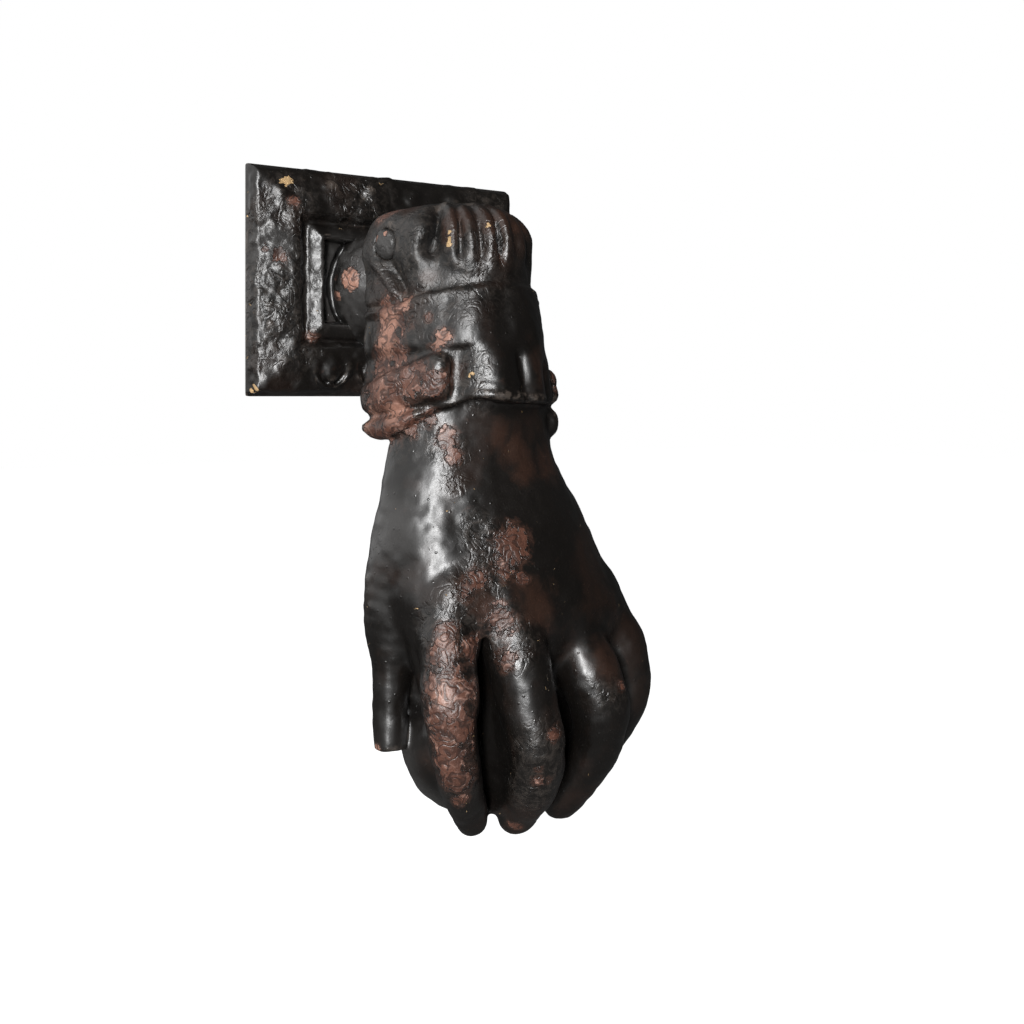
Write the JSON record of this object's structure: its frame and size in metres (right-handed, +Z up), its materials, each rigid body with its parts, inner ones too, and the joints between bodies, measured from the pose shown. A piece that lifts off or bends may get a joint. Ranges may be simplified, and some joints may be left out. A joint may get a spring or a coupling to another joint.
{
  "type": "hand door knocker",
  "caption": "Cast-iron door knocker: a left hand with a gathered cuff holds a ball and swings on a pin from a moulded rectangular wall plate with a domed boss.",
  "frame": {"origin": "centre of the wall plate's back face, on the wall's plane", "axes": "+Z up, +Y into the wall, -Y out towards the caller, +X to the right as the caller sees it"},
  "size_m": [0.0824, 0.1232, 0.1627],
  "materials": {
    "plate_iron": "thick old black gloss paint, pitted, with a few rust and ochre chips",
    "hand_iron": "thick old black gloss paint, wrinkled, chipped to red-brown rust in patches",
    "pin_iron": "painted over with the hand, rusty at its ends",
    "stud_iron": "bare iron with a dull brown rust film"
  },
  "bodies": {
    "plate_body": {"wall_plate": "plate_iron", "fixing_stud": "stud_iron"},
    "hand_body": {"hand": "hand_iron", "pivot_pin": "pin_iron"}
  },
  "joints": [
    {"name": "hand_swing", "type": "hinge", "parent": "plate_body", "child": "hand_body", "pos_m": [0, -0.04, 0.006], "axis": [-1, 0, 0], "range_deg": [0, 60]}
  ]
}
